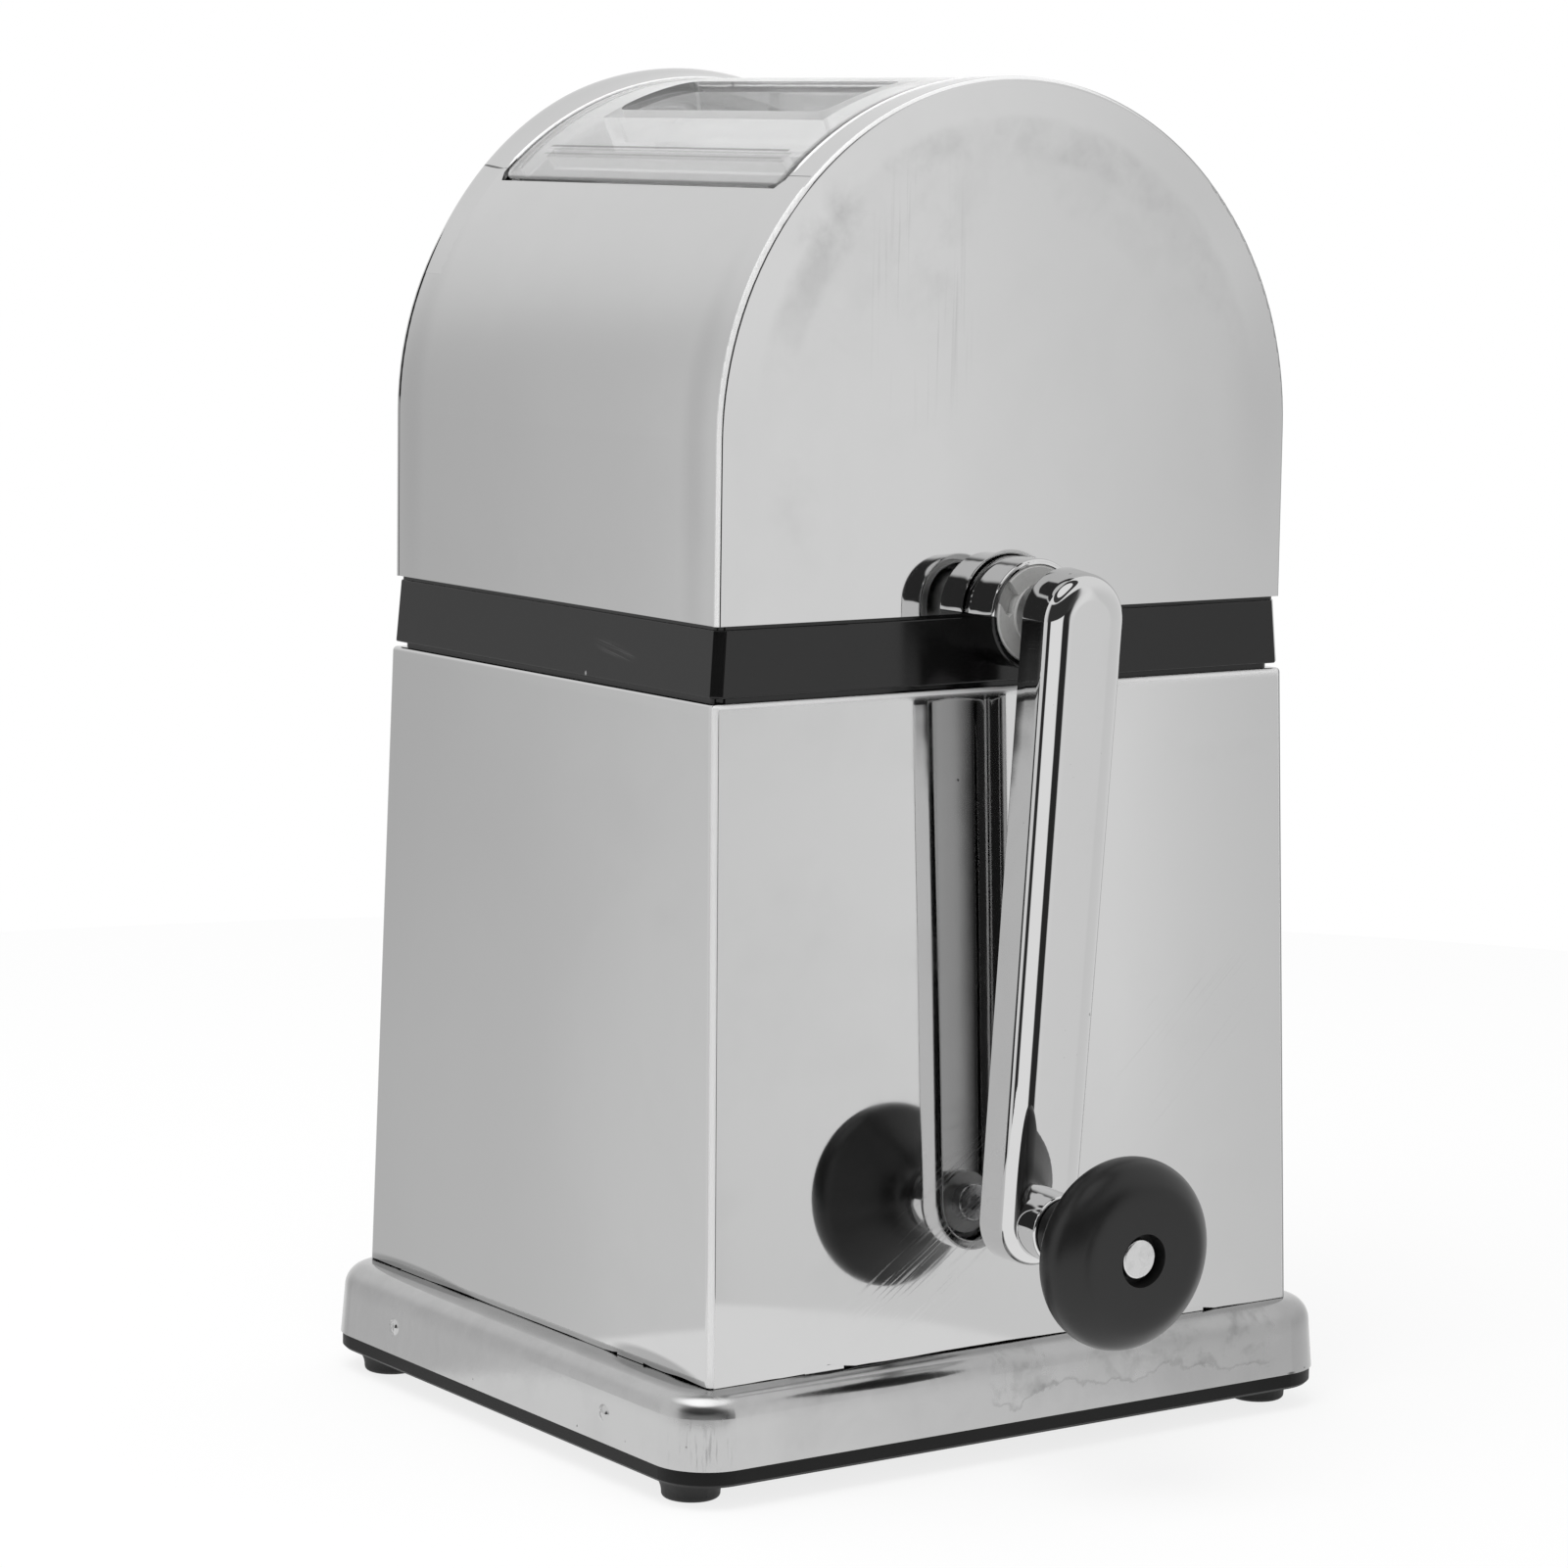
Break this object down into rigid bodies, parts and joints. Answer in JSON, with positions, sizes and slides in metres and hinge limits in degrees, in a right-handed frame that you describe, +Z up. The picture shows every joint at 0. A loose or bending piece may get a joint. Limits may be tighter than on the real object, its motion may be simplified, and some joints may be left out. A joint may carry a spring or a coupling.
{
  "type": "hand crank ice crusher",
  "caption": "Arch-topped table ice crusher: side crank turns a hooked-blade rotor between fixed combs, hinged clear lid on top, ice bin below.",
  "frame": {"origin": "centre of the body's footprint on the plane the rubber feet stand on", "axes": "+Z up, +X out through the crank side, -Y towards the curved front cover; crank shaft along +X"},
  "size_m": [0.1769, 0.157, 0.265],
  "materials": {
    "polished_steel": "mirror-polished sheet steel with faint rub marks",
    "chromed_zinc": "chromed die-casting, bright",
    "bright_fastener": "plated screw, turned finish",
    "tool_steel": "stamped and ground stainless",
    "black_plastic": "moulded, glossy black",
    "black_base": "moulded, fine-grained black",
    "white_plastic": "moulded, white",
    "grey_nylon": "machined nylon, light grey",
    "clear_plastic": "moulded, clear",
    "black_rubber": "soft, dull"
  },
  "bodies": {
    "base_unit": {"base_plate": "black_base", "base_shell": "polished_steel", "feet": "black_rubber", "foot_screws": "bright_fastener", "lower_housing": "polished_steel", "bin_liner": "white_plastic", "bin_screws": "bright_fastener"},
    "head": {"band": "black_plastic", "bearing_cap": "chromed_zinc", "far_bearing_cap": "chromed_zinc", "cap_screws": "bright_fastener", "crank_bush": "grey_nylon", "far_bush": "grey_nylon", "comb_front": "tool_steel", "comb_rear": "tool_steel", "comb_screws": "bright_fastener", "hopper": "white_plastic", "front_wrap": "polished_steel", "back_wrap": "polished_steel", "lid_frame": "polished_steel", "hinge_pin": "bright_fastener", "crank_side_panel": "polished_steel", "plain_side_panel": "polished_steel"},
    "crank": {"rotor_shaft": "tool_steel", "blade_1": "tool_steel", "blade_2": "tool_steel", "blade_3": "tool_steel", "blade_4": "tool_steel", "blade_5": "tool_steel", "blade_spacers": "tool_steel", "end_collars": "tool_steel", "crank_arm": "chromed_zinc", "arm_set_screw": "bright_fastener", "knob_ferrule": "chromed_zinc", "knob_axle": "bright_fastener", "knob_bolt": "bright_fastener"},
    "knob_body": {"knob": "black_plastic"},
    "lid_body": {"lid": "clear_plastic"}
  },
  "joints": [
    {"name": "head_lift", "type": "slide", "parent": "base_unit", "child": "head", "axis": [0, 0, 1], "range_m": [0, 0.12]},
    {"name": "crank_turn", "type": "hinge", "parent": "head", "child": "crank", "pos_m": [0, 0, 0.164], "axis": [1, 0, 0], "continuous": true},
    {"name": "knob_spin", "type": "hinge", "parent": "crank", "child": "knob_body", "pos_m": [0.09558, -0.00385, 0.04805], "axis": [0.9991, -0.0014, -0.0426], "continuous": true},
    {"name": "lid_flip", "type": "hinge", "parent": "head", "child": "lid_body", "pos_m": [0, 0.02227, 0.25697], "axis": [-1, 0, 0], "range_deg": [0, 95]}
  ]
}
